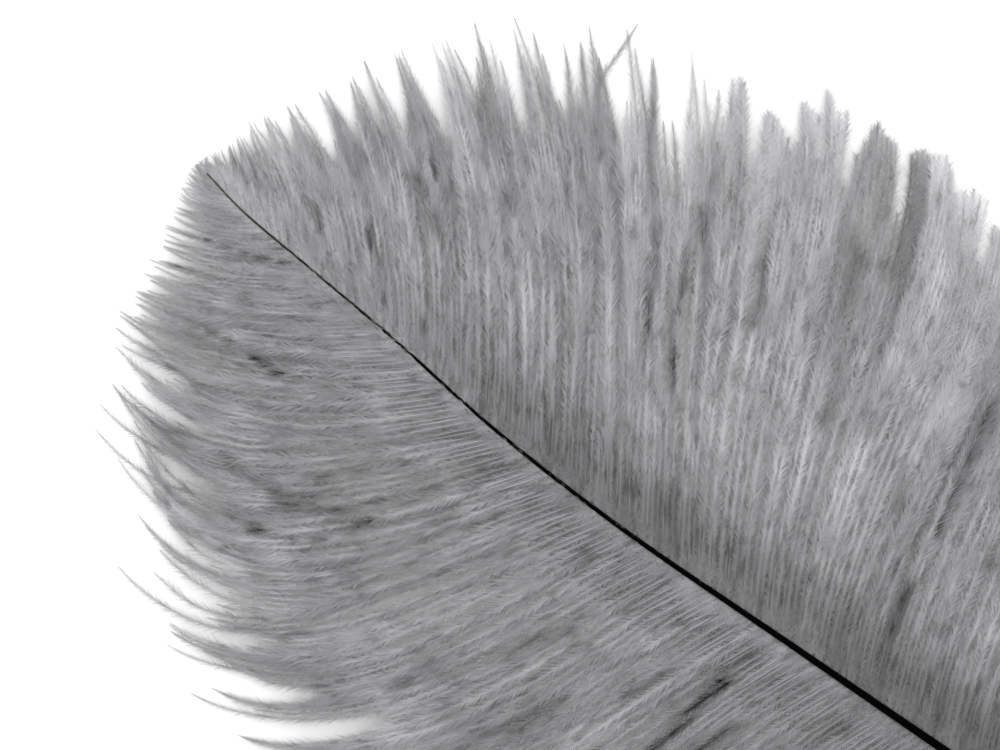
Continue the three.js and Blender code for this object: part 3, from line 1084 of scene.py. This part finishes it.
def make_shaft(material):
    """The profile is turned, grooved along its underside, and bent along the shaft's line."""
    s, radius = shaft_profile()
    centre, along = shaft_at(s), shaft_along(np.clip(s, 0.7, SHAFT_LENGTH - 0.7))
    side = np.cross([0.0, 0.0, 1.0], along)
    side /= np.linalg.norm(side, axis=1, keepdims=True)
    up = np.cross(along, side)
    turn = np.linspace(0, 2 * np.pi, SHAFT_SIDES, endpoint=False)
    under = np.exp(-(((turn - 1.5 * np.pi) / GROOVE_WIDTH) ** 2))[None]
    grooved = (ease(s, GROOVE_START, GROOVE_FADE_IN) * ease(CALAMUS_START - s, 0, GROOVE_FADE_OUT))[:, None]
    ring = radius[:, None] * (1 - GROOVE_DEPTH * under * grooved)
    points = (
        centre[:, None]
        + side[:, None] * (ring * np.cos(turn))[..., None]
        + up[:, None] * (ring * np.sin(turn) * HEIGHT_TO_WIDTH)[..., None]
    )
    rings = len(s)
    index = np.arange(rings * SHAFT_SIDES).reshape(rings, SHAFT_SIDES)
    after = np.roll(index, -1, axis=1)
    faces = np.stack([index[:-1], index[1:], after[1:], after[:-1]], axis=-1).reshape(-1, 4)
    mesh = bpy.data.meshes.new("shaft_surface")
    mesh.from_pydata(to_row(points.reshape(-1, 3)), [], faces.tolist())
    uv = mesh.uv_layers.new(name="OFBake")
    ring_of, side_of = np.divmod(faces, SHAFT_SIDES)
    wrapped = np.where(side_of < side_of[:, :1], side_of + SHAFT_SIDES, side_of)
    shares = np.stack([wrapped / SHAFT_SIDES, ring_of / rings], axis=-1)
    uv.data.foreach_set("uv", shares.astype(np.float32).ravel())
    attribute = mesh.attributes.new("along", "FLOAT", "POINT")
    attribute.data.foreach_set("value", np.repeat(s / SHAFT_LENGTH, SHAFT_SIDES).astype(np.float32))
    mesh.shade_smooth()
    mesh.materials.append(material)
    piece = bpy.data.objects.new("shaft_surface", mesh)
    bpy.context.scene.collection.objects.link(piece)
    return piece


# ---------------- stage

PICTURE_WIDTH, PICTURE_HEIGHT = 1000, 750
TIP_PIXEL = np.array([205.0, 172.0])
MM_PER_PIXEL = 0.25  # at the focus height
ROLL = math.radians(36)
LENS = 135.0
SENSOR = 36.0
FOCUS_HEIGHT = 8.0  # millimetres above what the plume lies on
FLOOR_HALF = 12.0  # half the floor's side in metres
FLOOR_HEIGHT = -0.0002
ROOM_LIGHT = 1.25
KEY_PLACE = (-0.68, 0.93, 0.97)
KEY_SIZE, KEY_POWER = 0.8, 7  # metres and watts


def make_camera():
    """Looks straight down, turned so that the shaft crosses the picture from upper left to lower right."""
    across, down = (np.array([PICTURE_WIDTH, PICTURE_HEIGHT]) / 2 - TIP_PIXEL) * MM_PER_PIXEL
    x = across * math.cos(ROLL) + down * math.sin(ROLL)
    y = across * math.sin(ROLL) - down * math.cos(ROLL)
    distance = PICTURE_WIDTH * MM_PER_PIXEL * LENS / SENSOR
    data = bpy.data.cameras.new("camera")
    data.lens, data.sensor_width = LENS, SENSOR
    camera = bpy.data.objects.new("camera", data)
    camera.location = to_row(np.array([x, y, FOCUS_HEIGHT + distance]))
    camera.rotation_euler = (0, 0, ROLL)
    bpy.context.scene.collection.objects.link(camera)
    bpy.context.scene.camera = camera


def make_floor():
    mesh = bpy.data.meshes.new("floor")
    signs = ((-1, -1), (1, -1), (1, 1), (-1, 1))
    corners = [(x * FLOOR_HALF, y * FLOOR_HALF, FLOOR_HEIGHT) for x, y in signs]
    mesh.from_pydata(corners, [], [(0, 1, 2, 3)])
    finish = Finish("pale_floor")
    finish.set(Base_Color=(0.9, 0.9, 0.9, 1), Roughness=0.9, Specular_IOR_Level=0.1)
    mesh.materials.append(finish.material)
    floor = bpy.data.objects.new("floor", mesh)
    bpy.context.scene.collection.objects.link(floor)


def make_lights():
    world = bpy.data.worlds.new("soft_room")
    world.use_nodes = True
    background = world.node_tree.nodes["Background"]
    background.inputs["Color"].default_value = (1, 1, 1, 1)
    background.inputs["Strength"].default_value = ROOM_LIGHT
    bpy.context.scene.world = world
    data = bpy.data.lights.new("soft_key", "AREA")
    data.shape = "DISK"
    data.size = KEY_SIZE
    data.energy = KEY_POWER
    key = bpy.data.objects.new("soft_key", data)
    key.location = KEY_PLACE
    key.rotation_euler = (-key.location).to_track_quat("-Z", "Y").to_euler()
    bpy.context.scene.collection.objects.link(key)
    bpy.context.scene.view_settings.view_transform = "Standard"


# ---------------- the plume

BARBULES = {
    "Barbule Length": 4.0 * MM,
    "Root Angle": math.radians(36),
    "Tip Angle": math.radians(20),
}

# A vane's pieces along the shaft: where each ends, and the spacing and width of its barbules.
PARTS = [
    ("tip", 187.0, 0.135 * MM, 0.2 * MM),
    ("middle", 245.0, 0.14 * MM, 0.2 * MM),
    ("base", LAST_ROOT + 1, 0.32 * MM, 0.34 * MM),
]
FILL_SPACING, FILL_WIDTH = 0.15 * MM, 0.2 * MM
FILL_SEED = 50


def make_barb_piece(name, node, barbs, span, tree, sizes):
    wires = barb_wires(name + "_wires", barbs, *span)
    piece = run_tree(name, wires, tree, {**BARBULES, **sizes})
    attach(piece, "root")
    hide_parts(node)


def make_vane(vane, tree, material):
    """The vane's barbs in three pieces along the shaft, and in a fourth the finer barbs between them."""
    barbs = make_barbs(vane)
    ended = end_early(barbs)
    stem = vane.node.replace("vane", "barbs") + "_"
    sizes = {"Seed": vane.seed, "Material": material}
    first = 0.0
    for part, last, spacing, width in PARTS:
        sizes.update({"Barbule Spacing": spacing, "Barbule Width": width})
        make_barb_piece(stem + part, vane.node, ended, (first, last), tree, sizes)
        first = last
    sizes.update({"Barbule Spacing": FILL_SPACING, "Barbule Width": FILL_WIDTH})
    sizes["Seed"] = vane.seed + FILL_SEED
    between = fill_between(barbs, *vane.filled)
    make_barb_piece(stem + "between", vane.node, between, vane.filled, tree, sizes)


def make_plume():
    down = barb_finish()
    tree = barb_tree()
    make_vane(RIGHT_VANE, tree, down)
    make_vane(LEFT_VANE, tree, down)
    shaft = make_shaft(shaft_finish())
    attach(shaft, "root")
    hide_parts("shaft")


make_camera()
make_floor()
make_lights()
make_plume()
